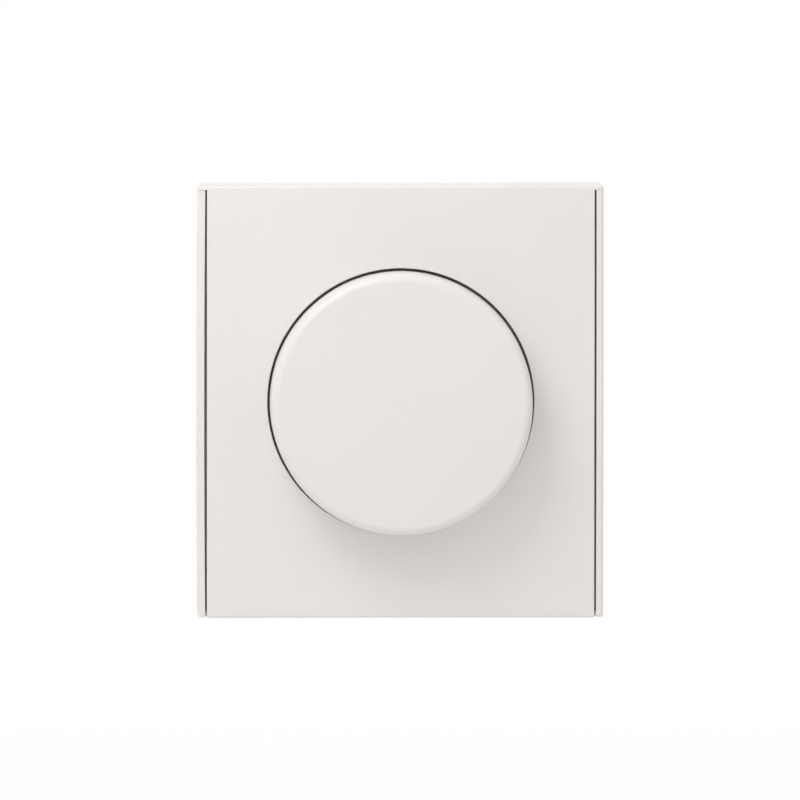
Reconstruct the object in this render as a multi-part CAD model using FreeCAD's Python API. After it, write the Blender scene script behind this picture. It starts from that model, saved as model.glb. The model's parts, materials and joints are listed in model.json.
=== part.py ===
"""Flush rotary dimmer switch: cover frame, centre plate, turn-and-push knob and wall-box insert.

Millimetres. The wall is the plane y = 0, the front faces -Y and +Z is up.
The origin is the middle of the fixing screws, on the knob's axis, at the wall.
"""
import FreeCAD, Part
import math
import os

V = FreeCAD.Vector

# Cover frame: its width and height follow from the support ring and the room beside it
ring_side_room = 3.31
ring_end_room = 6.01
cover_depth = 10.5
cover_lift = 0.115
rail_width = 1.4
slot_width = 0.35
left_bow = 0.2
right_bow = 0.05
edge_round = 0.55
rail_nib_height = 1.2
rail_nib_drop = 1.1
web_depth = 6.5
web_thickness = 2.0
locating_rib = 1.2
locating_clearance = 0.25

# Centre plate and the round well that the knob turns in
plate_skin = 2.0
plate_wall = 1.5
plate_overhang = 0.13
lip_height = 0.9
slot_edge_round = 0.15
hole_radius = 26.48
hole_edge_round = 0.2
well_wall = 1.5
well_floor = 1.8
floor_lift = 2.0
floor_boss_radius = 9.5
window_gap = 3.0
window_round = 5.0
guide_tab = 1.2
guide_tab_width = 8.0
guide_clearance = 0.2
plate_rib = 1.0
plate_rib_count = 8

# Knob
knob_gap = 0.43
knob_proud = 9.5
knob_draft = 0.15
knob_round = 1.55
knob_skin = 2.2
knob_wall = 1.8
knob_inner_round = 1.0
knob_hub_radius = 5.0
knob_rib = 1.2
knob_rib_depth = 4.0
knob_rib_count = 6
push_travel = 1.2
push_clearance = 0.4

# Shaft, its bush and the nut that holds the centre plate
shaft_radius = 3.0
shaft_flat = 2.0
shaft_tip_radius = 1.6
shaft_collar_radius = 4.2
shaft_collar = 1.2
running_clearance = 0.05
clip_thickness = 0.35
clip_width = 3.4
clip_length = 5.0
bush_radius = 5.0
bush_flange = 1.5
bush_beyond_nut = 0.7
bush_chamfer = 0.5
plate_hole_clearance = 0.3
washer_radius = 8.0
washer_thickness = 0.6
nut_across_flats = 14.0
nut_thickness = 3.0

# Support ring
ring_edge = 2.25
ring_thickness = 1.0
ring_corner = 6.0
ring_lip_width = 28.0
ring_lip_depth = 2.6
screw_slot_radius = 1.75
screw_slot_length = 6.5
screw_slot_gap = 1.85
screw_hole_clearance = 0.2

# Insert cup: it is as large as the parts inside it ask
cup_side_gap = 0.5
cup_end_gap = 1.1
cup_wall = 1.6
cup_floor = 1.5
cup_round = 1.2
board_ledge = 1.4
cup_screw_angle = 51.5
cup_boss_inset = 2.9
cup_boss_radius = 2.6
cup_screw_radius = 1.5
cup_screw_length = 10.0
cup_screw_head_radius = 2.6
cup_screw_head = 1.4

# Potentiometer
pot_radius = 8.2
pot_depth = 8.0
pot_wall = 1.2
track_thickness = 0.8
track_width = 2.4
wiper_thickness = 1.4
wiper_gap = 0.8
contact_thickness = 0.3
contact_width = 2.0
contact_foot = 2.7
tag_width = 1.2
tag_thickness = 0.5
tag_spacing = 3.0

# Push switch behind the potentiometer
switch_size = 12.0
switch_depth = 7.0
switch_wall = 1.0
plunger_radius = 2.0
plunger_flange_radius = 4.0
plunger_flange = 1.0
plunger_pin_radius = 1.2
plunger_pin = 1.6
touch_gap = 0.05
spring_radius = 2.0
spring_wire = 0.4
spring_turns = 4.0

# Circuit board and what stands on it
board_thickness = 1.6
board_clearance = 0.3
solder_room = 1.7
heat_sink_width = 15.6
heat_sink_thickness = 1.3
heat_sink_gap = 0.8
heat_sink_flange = 7.5
heat_sink_length = 13.0
triac_width = 10.0
triac_height = 4.5
triac_length = 9.0
triac_tab = 1.3
triac_tab_length = 5.0
triac_lead = 1.0
triac_leg_pitch = 2.5
triac_screw_head_radius = 2.4
choke_x = -2.0
choke_gap = 1.7
choke_inner_radius = 2.9
choke_outer_radius = 5.2
choke_height = 4.6
choke_wire = 0.8
capacitor_gap = 1.2
capacitor_width = 8.0
capacitor_height = 19.0
capacitor_depth = 12.5
small_capacitor_room = 0.9
small_capacitor_gap = 0.35
small_capacitor_z = -6.6
small_capacitor_width = 4.6
small_capacitor_height = 2.4
small_capacitor_depth = 5.5
resistor_radius = 1.1
resistor_waist_radius = 0.93
resistor_pitch = 2.86
resistor_length = 6.3
fuse_gap = 0.15
fuse_radius = 2.5
fuse_length = 20.0
fuse_cap = 5.0
fuse_wall = 0.35
fuse_glass = 0.5
fuse_clip_strip = 0.4
fuse_clip_width = 3.4
fuse_clip_rise = 1.5
trimmer_angle = 49.4
trimmer_inset = 6.16
trimmer_size = 5.6
trimmer_depth = 6.0
trimmer_rotor_radius = 1.6
trimmer_recess = 0.4
trimmer_hole_radius = 2.2

# Terminals
terminal_pitch = 11.0
terminal_count = 3
terminal_z = -10.0
terminal_room = 5.0
block_side_wall = 1.9
block_wall = 1.5
block_round = 0.8
cage_width = 6.6
cage_height = 4.0
cage_strip = 1.0
cage_thread = 1.2
cage_clearance = 0.3
wire_gap = 3.2
wire_hole_radius = 2.0
bar_width = 4.0
bar_thickness = 0.8
bar_leg_inset = 0.5
bar_clearance = 0.1
terminal_screw_radius = 1.5
terminal_head_radius = 2.5
terminal_head = 1.5
terminal_travel = 2.4
thread_clearance = 0.1
rear_cover_thickness = 1.3
driver_hole_radius = 2.1
cover_hook = 1.0
cover_hook_length = 4.0
cover_nib = 0.4

# Claws that grip the wall box
claw_screw_reach = 3.7
claw_screw_radius = 1.5
claw_screw_head_radius = 2.4
claw_screw_head = 1.6
claw_slope = 0.5
claw_thickness = 1.2
claw_half_width = 6.2
claw_clearance = 0.1
claw_rear = 17.0
claw_front = 6.2
claw_tooth = 2.4
claw_foot_edge = 4.0
claw_ramp_front = 9.0
claw_ramp_inner = 3.6
claw_nut_size = 6.4
claw_nut_thickness = 2.2
claw_nut_gap = 0.2
drive_slot_width = 0.8
drive_slot_depth = 0.8

# Depths in front of the wall, as distances from it
web_back = web_depth - web_thickness
floor_back = ring_thickness + floor_lift
floor_front = floor_back + well_floor
nut_seat = floor_front + washer_thickness
nut_front = nut_seat + nut_thickness
bush_front = nut_front + bush_beyond_nut
knob_front = cover_depth + knob_proud
knob_inside = knob_front - knob_skin
skirt_end = floor_front + push_travel + push_clearance
hub_end = bush_front + push_travel + push_clearance
shaft_front = knob_inside - push_clearance
plate_inside = cover_depth - plate_skin

# Depths behind the wall
pot_back = bush_flange + pot_depth
pot_floor = pot_back - pot_wall
track_front = pot_floor - track_thickness
collar_start = bush_flange + touch_gap
collar_end = collar_start + shaft_collar
wiper_front = collar_end + push_travel + push_clearance
wiper_back = wiper_front + wiper_thickness
shaft_shoulder = pot_floor - push_travel - push_clearance
shaft_end = pot_back + switch_wall / 2
plunger_start = shaft_end + touch_gap
plunger_flange_start = pot_back + switch_wall + touch_gap
plunger_flange_end = plunger_flange_start + plunger_flange
board_front = pot_back + switch_depth
board_back = board_front + board_thickness
floor_inside = board_back + solder_room
cup_back = floor_inside + cup_floor
cage_front = cup_back + cage_clearance
bar_front = cage_front + cage_strip + wire_gap
bar_back = bar_front + bar_thickness
cage_rear_wall = bar_back + touch_gap * 2
cage_back = cage_rear_wall + cage_thread
head_front = cage_back + terminal_travel + touch_gap * 2
head_back = head_front + terminal_head
block_back = head_back + touch_gap * 2
wire_y = cage_front + cage_strip + wire_gap / 2

# The insert from the inside out: potentiometer and switch, the parts beside them, cup, claws
wiper_radius = pot_radius - pot_wall - wiper_gap
track_inner_radius = pot_radius - pot_wall - track_width
capacitor_x = pot_radius + capacitor_gap + capacitor_width / 2
small_capacitor_x = -(switch_size / 2 + small_capacitor_room + small_capacitor_width / 2)
fuse_x = (small_capacitor_x - small_capacitor_width / 2 - small_capacitor_gap - fuse_clip_strip - touch_gap
          - fuse_radius)
left_side = -fuse_x + fuse_radius + touch_gap + fuse_clip_strip + fuse_gap
right_side = capacitor_x + capacitor_width / 2 + cup_side_gap
cup_flat = max(left_side, right_side) + cup_wall
choke_z = -pot_radius - choke_gap - choke_outer_radius - choke_wire
cup_radius = -choke_z + choke_outer_radius + choke_wire + cup_end_gap + cup_wall
heat_sink_top = math.sqrt((cup_radius - cup_wall - heat_sink_gap) ** 2 - (heat_sink_width / 2) ** 2)
trimmer_x = (cup_radius - trimmer_inset) * math.cos(math.radians(trimmer_angle))
trimmer_z = (cup_radius - trimmer_inset) * math.sin(math.radians(trimmer_angle))
cup_screw_x = (cup_radius - cup_boss_inset) * math.cos(math.radians(cup_screw_angle))
cup_screw_z = (cup_radius - cup_boss_inset) * math.sin(math.radians(cup_screw_angle))
claw_screw_x = cup_flat + claw_screw_reach
claw_foot_reach = claw_screw_x + claw_foot_edge
block_half_width = ((terminal_count - 1) * terminal_pitch + cage_width) / 2 + cage_clearance + block_side_wall
block_low = terminal_z - terminal_room - block_wall
block_high = terminal_z + terminal_room + block_wall
bar_leg_z = terminal_z + terminal_room - bar_leg_inset

# The ring and the cover outside the insert. The screw spacing comes to the wall box's 60 mm.
screw_place = claw_screw_x + claw_screw_radius + screw_hole_clearance + screw_slot_gap + screw_slot_length / 2
ring_size = 2 * screw_place + screw_slot_length + 2 * ring_edge
cover_width = ring_size + 2 * ring_side_room + 2 * rail_width
cover_height = ring_size + 2 * ring_end_room + 2 * rail_width
plate_width = cover_width - 2 * rail_width - 2 * slot_width
well_radius = hole_radius + well_wall
window_half = well_radius + window_gap
knob_radius = hole_radius - knob_gap
hub_bore_flat = shaft_flat + clip_thickness + running_clearance * 2
claw_nut_y = claw_rear + claw_thickness + claw_nut_gap
triac_back = board_front - triac_lead
triac_screw_y = triac_back - triac_length - triac_tab_length / 2
terminal_places = [(i - (terminal_count - 1) / 2) * terminal_pitch for i in range(terminal_count)]
cup_screw_places = [(-cup_screw_x, cup_screw_z), (cup_screw_x, -cup_screw_z)]


def block(x0, x1, y0, y1, z0, z1):
    """A box between two opposite corners."""
    corner = V(min(x0, x1), min(y0, y1), min(z0, z1))
    return Part.makeBox(abs(x1 - x0), abs(y1 - y0), abs(z1 - z0), corner)


def rod(radius, y0, y1, x=0.0, z=0.0):
    """A cylinder along Y from one depth to another."""
    return Part.makeCylinder(radius, abs(y1 - y0), V(x, min(y0, y1), z), V(0, 1, 0))


def tube(outer, inner, y0, y1, x=0.0, z=0.0):
    """A hollow cylinder along Y."""
    return rod(outer, y0, y1, x, z).cut(rod(inner, y0, y1, x, z))


def d_rod(radius, flat, y0, y1):
    """A rod on the knob's axis with one flat on its upper side."""
    return rod(radius, y0, y1).cut(block(-radius, radius, y0, y1, flat, 2 * radius))


def spin(profile):
    """A turned solid about the Y axis from (radius, y) points."""
    corners = [V(radius, y, 0) for radius, y in profile]
    face = Part.Face(Part.makePolygon(corners + corners[:1]))
    return face.revolve(V(0, 0, 0), V(0, 1, 0), 360)


def drawn_in_plan(points, z0, z1):
    """An outline of (x, y) points, extruded up from z0 to z1."""
    corners = [V(x, y, z0) for x, y in points]
    face = Part.Face(Part.makePolygon(corners + corners[:1]))
    return face.extrude(V(0, 0, z1 - z0))


def obround(length, radius, y0, y1, x, z, upright=False):
    """A slot's shape: round ends, its length along X or, when upright, along Z."""
    half = length / 2 - radius
    dx, dz = (0, half) if upright else (half, 0)
    ends = [rod(radius, y0, y1, x - dx, z - dz), rod(radius, y0, y1, x + dx, z + dz)]
    middle = block(x - dx - radius * (dz > 0), x + dx + radius * (dz > 0), y0, y1,
                   z - dz - radius * (dx > 0), z + dz + radius * (dx > 0))
    return middle.fuse(ends)


def fused(first, *others):
    """One solid from pieces that meet, with no seams left on shared faces."""
    return first.fuse(list(others)).removeSplitter()


def mirrored(shape):
    """The same piece on the other side of the knob's axis."""
    return shape.mirror(V(0, 0, 0), V(1, 0, 0))


def edges_along_y(shape):
    """The straight edges that run front to back."""
    return [e for e in shape.Edges if abs(e.tangentAt(e.FirstParameter).y) > 0.999]


def edges_at_depth(shape, y):
    """The edges that lie wholly in the plane at y, without the poles of rounded corners."""
    edges = [e for e in shape.Edges if not e.Degenerated]
    return [e for e in edges if all(abs(p.y - y) < 0.001 for p in e.discretize(3))]


def around(piece, count, start=0.0):
    """Copies of a piece, evenly spaced about the knob's axis."""
    copies = []
    for i in range(count):
        turned = piece.copy()
        turned.rotate(V(0, 0, 0), V(0, 1, 0), start + 360.0 * i / count)
        copies.append(turned)
    return copies


def drive_slot(radius, y_face, x, z, inward):
    """The screwdriver slot cut into a screw's head, from its outer face."""
    half = drive_slot_width / 2
    return block(x - radius, x + radius, y_face, y_face + inward * drive_slot_depth, z - half, z + half)


def bowed_slab(left, right, bottom, top, y0, y1):
    """A slab with straight ends whose sides bow out, as thin moulded rails do."""
    low_left, low_right = V(left, y0, bottom), V(right, y0, bottom)
    top_left, top_right = V(left, y0, top), V(right, y0, top)
    middle = (bottom + top) / 2
    right_side = Part.Arc(low_right, V(right + right_bow, y0, middle), top_right).toShape()
    left_side = Part.Arc(top_left, V(left - left_bow, y0, middle), low_left).toShape()
    wire = Part.Wire([Part.makeLine(low_left, low_right), right_side,
                      Part.makeLine(top_right, top_left), left_side])
    return Part.Face(wire).extrude(V(0, y1 - y0, 0))


def make_cover_frame():
    """The outer frame: a tray whose two side rails stand up past the web that carries the plate."""
    half_width, half_height = cover_width / 2, cover_height / 2
    body = bowed_slab(-half_width, half_width, -half_height, half_height, 0, -cover_depth)
    soft_edges = edges_along_y(body) + edges_at_depth(body, -cover_depth)
    body = body.makeFillet(edge_round, soft_edges)
    inner_x, inner_z = half_width - rail_width, half_height - rail_width
    hollow = block(-inner_x, inner_x, 0, -web_back, -inner_z, inner_z)
    bay = bowed_slab(-inner_x, inner_x, -half_height, half_height, -web_depth, -2 * cover_depth)
    lip_bay = block(-cover_width, cover_width, -web_depth, -2 * cover_depth,
                    half_height - lip_height - touch_gap, cover_height)
    window = block(-window_half, window_half, -web_back, -web_depth, -window_half, window_half)
    window = window.makeFillet(window_round, edges_along_y(window))
    body = body.cut([hollow, bay, lip_bay, window])
    body = body.fuse(make_locating_ribs() + make_rail_nibs()).removeSplitter()
    return lifted(body)


def lifted(shape):
    """A piece of the cover, which hangs a hair above the knob's axis by the play round the bush."""
    return shape.translated(V(0, 0, cover_lift))


def make_rail_nibs():
    """A low nib at the foot of each slot, which keeps the plate centred between the rails."""
    low = -cover_height / 2
    near, far = plate_width / 2 + touch_gap, (cover_width - rail_width) / 2
    return [block(side * near, side * far, -web_depth, -cover_depth + rail_nib_drop, low + edge_round,
                  low + rail_nib_height) for side in (-1, 1)]


def make_locating_ribs():
    """Short ribs under the web that centre the frame on the support ring's edges."""
    near = ring_size / 2 + locating_clearance
    far = near + locating_rib
    wall_x, wall_z = (cover_width - rail_width) / 2, (cover_height - rail_width) / 2
    ribs = []
    for side in (-1, 1):
        for place in (-ring_size / 4, ring_size / 4):
            thin = (place - locating_rib / 2, place + locating_rib / 2)
            wide = (place - guide_tab_width / 2, place + guide_tab_width / 2)
            depth = (-ring_thickness, -web_back)
            ribs.append(block(side * near, side * wall_x, *depth, *thin))
            ribs.append(block(side * near, side * far, *depth, *wide))
            ribs.append(block(*thin, *depth, side * near, side * wall_z))
            ribs.append(block(*wide, *depth, side * near, side * far))
    return ribs


def make_centre_plate():
    """The plate between the rails, with the knob's well, its floor and the boss on the ring."""
    half_width, half_height = plate_width / 2, cover_height / 2
    low, high = -half_height - plate_overhang, half_height
    lip_low = high - lip_height
    slab = block(-half_width, half_width, -web_depth, -cover_depth, low, lip_low)
    front = edges_at_depth(slab, -cover_depth)
    slab = slab.makeFillet(edge_round, [e for e in front if e.BoundBox.ZMax < lip_low - plate_wall])
    sides = [e for e in edges_at_depth(slab, -cover_depth) if e.BoundBox.ZLength > plate_wall]
    slab = slab.makeFillet(slot_edge_round, sides)
    slab = fused(slab, make_top_lip(lip_low, high))
    hollow = block(-half_width + plate_wall, half_width - plate_wall, -web_depth, -plate_inside,
                   low + plate_wall, high - plate_wall)
    rib = block(well_radius - well_wall / 2, cover_height, -web_depth - guide_clearance, -plate_inside,
                -plate_rib / 2, plate_rib / 2)
    ribs = [r.common(hollow) for r in around(rib, plate_rib_count)]
    well = rod(well_radius, -floor_back, -plate_inside)
    boss = rod(floor_boss_radius, -ring_thickness, -floor_back)
    plate = slab.cut(hollow).fuse(ribs + [well, boss] + make_guide_tabs())
    bore = rod(bush_radius + plate_hole_clearance, 0, -cover_depth)
    plate = plate.cut([rod(hole_radius, -floor_front, -cover_depth), bore]).removeSplitter()
    rim = [e for e in edges_at_depth(plate, -cover_depth)
           if e.Curve.TypeId == "Part::GeomCircle" and e.Curve.Radius > well_wall]
    return lifted(plate.makeFillet(hole_edge_round, rim))


def make_top_lip(low, high):
    """The plate's top strip, which reaches over the ends of the rails and closes the slots."""
    half_width = cover_width / 2
    lip = block(-half_width, half_width, -web_depth, -cover_depth, low, high)
    corners = [e for e in edges_along_y(lip) if e.BoundBox.ZMin > low + edge_round]
    front = [e for e in edges_at_depth(lip, -cover_depth) if e.BoundBox.ZMax > low + edge_round]
    return lip.makeFillet(edge_round, corners + front)


def make_guide_tabs():
    """Four tabs that reach through the frame's window and centre the plate in it."""
    outer = window_half - guide_clearance
    tab = block(outer - guide_tab, outer, -web_back, -plate_inside, -guide_tab_width / 2, guide_tab_width / 2)
    return around(tab, 4)


def make_knob():
    """The knob: a drafted cup with a rounded rim, a D-bored hub and ribs between them."""
    face_radius = knob_radius - knob_draft
    shell = spin([(0, -knob_front), (face_radius, -knob_front), (knob_radius, -skirt_end), (0, -skirt_end)])
    shell = shell.makeFillet(knob_round, edges_at_depth(shell, -knob_front))
    inside = spin([(0, -knob_inside), (face_radius - knob_wall, -knob_inside),
                   (knob_radius - knob_wall, -skirt_end), (0, -skirt_end)])
    inside = inside.makeFillet(knob_inner_round, edges_at_depth(inside, -knob_inside))
    hub = rod(knob_hub_radius, -hub_end, -knob_inside - knob_skin / 2)
    rib = block(knob_hub_radius - knob_rib / 2, face_radius - knob_wall / 2, -knob_inside + knob_rib_depth,
                -knob_inside - knob_skin / 2, -knob_rib / 2, knob_rib / 2)
    body = shell.cut(inside).fuse([hub] + around(rib, knob_rib_count, 360.0 / knob_rib_count / 2))
    bore = d_rod(shaft_radius + running_clearance, hub_bore_flat, -hub_end, -knob_inside)
    return body.cut(bore).removeSplitter()


def make_knob_clip():
    """A bent spring leaf between the shaft's flat and the hub's, hooked over the hub's end."""
    low = shaft_flat + running_clearance
    leaf = block(-clip_width / 2, clip_width / 2, -hub_end, -hub_end - clip_length, low, low + clip_thickness)
    hook = block(-clip_width / 2, clip_width / 2, -hub_end + clip_thickness, -hub_end, low,
                 knob_hub_radius - running_clearance)
    return fused(leaf, hook)


def make_plate_washer():
    return tube(washer_radius, bush_radius + running_clearance, -floor_front, -nut_seat)


def make_plate_nut():
    """The hexagon nut that clamps the centre plate onto the support ring."""
    corner_radius = nut_across_flats / 2 / math.cos(math.radians(30))
    corners = []
    for i in range(7):
        angle = math.radians(60 * i)
        corners.append(V(corner_radius * math.cos(angle), -nut_front, corner_radius * math.sin(angle)))
    hexagon = Part.Face(Part.makePolygon(corners)).extrude(V(0, nut_thickness, 0))
    chamfer = (corner_radius - nut_across_flats / 2) / 2
    dome = spin([(0, -nut_front), (corner_radius - chamfer * 2, -nut_front),
                 (corner_radius, -nut_front + chamfer), (corner_radius, -nut_seat), (0, -nut_seat)])
    return hexagon.common(dome).cut(rod(bush_radius + running_clearance, -nut_seat, -nut_front))


def make_shaft():
    """The steel shaft: flats for the knob and wiper, a collar behind the bush and a thin pushing tip."""
    plain = rod(shaft_radius, -bush_front, collar_start)
    driver = d_rod(shaft_radius, shaft_flat, -shaft_front, -bush_front)
    collar = rod(shaft_collar_radius, collar_start, collar_end)
    wiper_part = d_rod(shaft_radius, shaft_flat, collar_end, shaft_shoulder)
    tip = rod(shaft_tip_radius, shaft_shoulder, shaft_end)
    return fused(plain, driver, collar, wiper_part, tip)


def make_pot_bush():
    """The brass bush, with the flange that closes the potentiometer's case."""
    body = spin([(0, -bush_front), (bush_radius - bush_chamfer, -bush_front),
                 (bush_radius, -bush_front + bush_chamfer), (bush_radius, 0), (pot_radius, 0),
                 (pot_radius, bush_flange), (0, bush_flange)])
    return body.cut(rod(shaft_radius + running_clearance, -bush_front, bush_flange))


def make_pot_case():
    cup = rod(pot_radius, bush_flange, pot_back)
    cup = cup.cut(rod(pot_radius - pot_wall, bush_flange, pot_floor))
    return cup.cut(rod(shaft_tip_radius + push_clearance, pot_floor, pot_back))


def make_pot_track():
    return tube(pot_radius - pot_wall, track_inner_radius, track_front, pot_floor)


def make_wiper_rotor():
    """The plastic rotor that the shaft turns but slides through."""
    hole = d_rod(shaft_radius + running_clearance, shaft_flat + running_clearance, wiper_front, wiper_back)
    return rod(wiper_radius, wiper_front, wiper_back).cut(hole)


def make_wiper_contact():
    """The sprung finger under the rotor that runs on the track."""
    half = contact_width / 2
    tip = track_front - touch_gap
    foot = block(-wiper_radius, -wiper_radius + contact_foot, wiper_back, wiper_back + contact_thickness,
                 -half, half)
    finger = block(-wiper_radius, -wiper_radius + contact_thickness * 2, wiper_back, tip, -half, half)
    return fused(foot, finger)


def make_pot_tags():
    """Three solder tags that join the track to the circuit board."""
    low = -pot_radius - tag_thickness
    return [block(x - tag_width / 2, x + tag_width / 2, track_front, board_front, low, -pot_radius)
            for x in (-tag_spacing, 0, tag_spacing)]


def make_switch_case():
    half = switch_size / 2
    case = block(-half, half, pot_back, board_front, -half, half)
    inner = half - switch_wall
    chamber = block(-inner, inner, pot_back + switch_wall, board_front - switch_wall, -inner, inner)
    hole = rod(plunger_radius + thread_clearance, pot_back, pot_back + switch_wall)
    return case.cut([chamber, hole] + [grown(c, touch_gap) for c in make_switch_contacts()])


def make_switch_contacts():
    """Two fixed contact strips that run from the chamber to the circuit board."""
    outer = switch_size / 2 - switch_wall - touch_gap
    strips = []
    for side in (-1, 1):
        start = plunger_flange_end + push_travel
        strips.append(block(side * outer, side * (outer - contact_thickness), start, board_front,
                            -contact_width / 2, contact_width / 2))
    return strips


def grown(box_shape, by):
    """A box a little larger all round, for the slot that a strip passes through."""
    b = box_shape.BoundBox
    return block(b.XMin - by, b.XMax + by, b.YMin - by, b.YMax + by, b.ZMin - by, b.ZMax + by)


def make_switch_plunger():
    stem = rod(plunger_radius, plunger_start, plunger_flange_start)
    flange = rod(plunger_flange_radius, plunger_flange_start, plunger_flange_end)
    pin = rod(plunger_pin_radius, plunger_flange_end, plunger_flange_end + plunger_pin)
    return fused(stem, flange, pin)


def make_switch_spring():
    """The return spring between the plunger's flange and the back of the switch case."""
    start = plunger_flange_end + spring_wire / 2 + touch_gap
    end = board_front - switch_wall - spring_wire / 2 - touch_gap
    helix = Part.makeHelix((end - start) / spring_turns, end - start, spring_radius)
    section = Part.Wire(Part.makeCircle(spring_wire / 2, V(spring_radius, 0, 0), V(0, 1, 0)))
    coil = Part.Wire(helix).makePipeShell([section], True, True)
    coil.rotate(V(0, 0, 0), V(1, 0, 0), -90)
    coil.translate(V(0, start, 0))
    return coil


def make_support_ring():
    """The stamped steel ring: slots for the box screws, holes for the claws and folded lips."""
    half = ring_size / 2
    plate = block(-half, half, 0, -ring_thickness, -half, half)
    plate = plate.makeFillet(ring_corner, edges_along_y(plate))
    half_lip = ring_lip_width / 2
    lip_front = -ring_thickness - ring_lip_depth
    lips = []
    for side in (-1, 1):
        lips.append(block(-half_lip, half_lip, -ring_thickness, lip_front,
                          side * half, side * (half - ring_thickness)))
    back, front = 0, -ring_thickness
    holes = [rod(bush_radius + screw_hole_clearance, back, front)]
    for side in (-1, 1):
        far = side * screw_place
        holes.append(obround(screw_slot_length, screw_slot_radius, back, front, far, 0))
        holes.append(obround(screw_slot_length, screw_slot_radius, back, front, 0, far, upright=True))
        holes.append(rod(claw_screw_radius + screw_hole_clearance, back, front, side * claw_screw_x))
    for x, z in cup_screw_places:
        holes.append(rod(cup_screw_radius + screw_hole_clearance, back, front, x, z))
    holes.append(rod(trimmer_hole_radius, back, front, trimmer_x, trimmer_z))
    return plate.fuse(lips).cut(holes).removeSplitter()


def cup_section(radius, flat, y0, y1):
    """A round section with a flat on each side, where the claws lie."""
    return rod(radius, y0, y1).common(block(-flat, flat, y0, y1, -radius, radius))


def make_insert_cup():
    """The moulded housing: board chamber, screw bosses, claw ramps and three terminal chambers."""
    body = cup_section(cup_radius, cup_flat, 0, cup_back)
    body = body.makeFillet(cup_round, edges_at_depth(body, cup_back))
    terminal_block = block(-block_half_width, block_half_width, floor_inside, block_back,
                           block_low, block_high)
    terminal_block = terminal_block.makeFillet(block_round, edges_along_y(terminal_block))
    body = body.fuse([terminal_block] + make_claw_ramps())
    chamber = cup_section(cup_radius - cup_wall, cup_flat - cup_wall, 0, board_back)
    ledge = board_ledge
    step = cup_section(cup_radius - cup_wall - ledge, cup_flat - cup_wall - ledge, board_back, floor_inside)
    bosses = [rod(cup_boss_radius, 0, floor_inside, x, z) for x, z in cup_screw_places]
    body = body.cut([chamber, step]).fuse(bosses)
    holes = [rod(cup_screw_radius, 0, cup_screw_length, x, z) for x, z in cup_screw_places]
    for x in terminal_places:
        holes += terminal_hollows(x)
    half_hook = cover_hook_length / 2 + bar_clearance
    for side in (-1, 1):
        outside = block_half_width + bar_clearance
        holes.append(block(side * outside, side * (block_half_width - cover_nib - bar_clearance),
                           block_back - cover_hook_length - bar_clearance,
                           block_back - cover_hook_length + cover_hook + bar_clearance,
                           terminal_z - half_hook, terminal_z + half_hook))
    return body.cut(holes).removeSplitter()


def terminal_hollows(x):
    """One terminal's chamber, its round wire hole below and the slot for its bar."""
    half = cage_width / 2 + cage_clearance
    chamber = block(x - half, x + half, cup_back, block_back, block_low + block_wall, block_high - block_wall)
    wire = Part.makeCylinder(wire_hole_radius, block_wall, V(x, wire_y, block_low), V(0, 0, 1))
    slot = bar_leg(x, bar_clearance, floor_inside, cup_back)
    return [chamber, wire, slot]


def make_claw_ramps():
    """Two pairs of wedges on the flats that push the claws outwards."""
    rise = claw_slope * (claw_rear - claw_ramp_front)
    inside = cup_flat - cup_wall / 2
    outline = [(inside, claw_rear), (cup_flat, claw_rear), (cup_flat + rise, claw_ramp_front),
               (inside, claw_ramp_front)]
    right = [drawn_in_plan(outline, claw_ramp_inner, claw_half_width),
             drawn_in_plan(outline, -claw_half_width, -claw_ramp_inner)]
    return right + [mirrored(r) for r in right]


def make_rear_cover():
    """The snap-on cover behind the terminals, with a hole for each screwdriver."""
    plate = block(-block_half_width, block_half_width, block_back, block_back + rear_cover_thickness,
                  block_low, block_high)
    plate = plate.makeFillet(block_round, edges_along_y(plate))
    half_hook = cover_hook_length / 2
    front = block_back - cover_hook_length
    hooks = []
    for side in (-1, 1):
        near = block_half_width + bar_clearance / 2
        leg = block(side * near, side * (near + cover_hook), front, block_back + rear_cover_thickness,
                    terminal_z - half_hook, terminal_z + half_hook)
        nib = block(side * (block_half_width - cover_nib), side * (near + cover_hook), front,
                    front + cover_hook, terminal_z - half_hook, terminal_z + half_hook)
        bridge = block(side * (near - cover_hook), side * (near + cover_hook), block_back,
                       block_back + rear_cover_thickness, terminal_z - half_hook, terminal_z + half_hook)
        hooks += [leg, nib, bridge]
    holes = [rod(driver_hole_radius, block_back, block_back + rear_cover_thickness, x, terminal_z)
             for x in terminal_places]
    return plate.fuse(hooks).cut(holes).removeSplitter()


def make_circuit_board():
    """The board: it rests on the cup's ledge, notched round the bosses and slotted for the bars."""
    gap = cup_wall + board_clearance
    board = cup_section(cup_radius - gap, cup_flat - gap, board_front, board_back)
    notch = cup_boss_radius + board_clearance
    notches = [rod(notch, board_front, board_back, x, z) for x, z in cup_screw_places]
    slots = [bar_leg(x, bar_clearance, board_front, board_back) for x in terminal_places]
    return board.cut(notches + slots)


def bar_leg(x, clearance, y0, y1):
    """The upright leg of a terminal's bar, or the slot for it when it is given a clearance."""
    half_width = bar_width / 2 + clearance
    half_thickness = bar_thickness / 2 + clearance
    low, high = bar_leg_z - half_thickness, bar_leg_z + half_thickness
    return block(x - half_width, x + half_width, y0, y1, low, high)


def make_terminal_bars():
    """Tinned strips that carry the current from the board to the clamps."""
    bars = []
    for x in terminal_places:
        tongue = block(x - bar_width / 2, x + bar_width / 2, bar_front, bar_back,
                       block_low + block_wall + cage_clearance, bar_leg_z + bar_thickness / 2)
        bars.append(fused(tongue, bar_leg(x, 0, board_front, bar_back)))
    return bars


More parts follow.
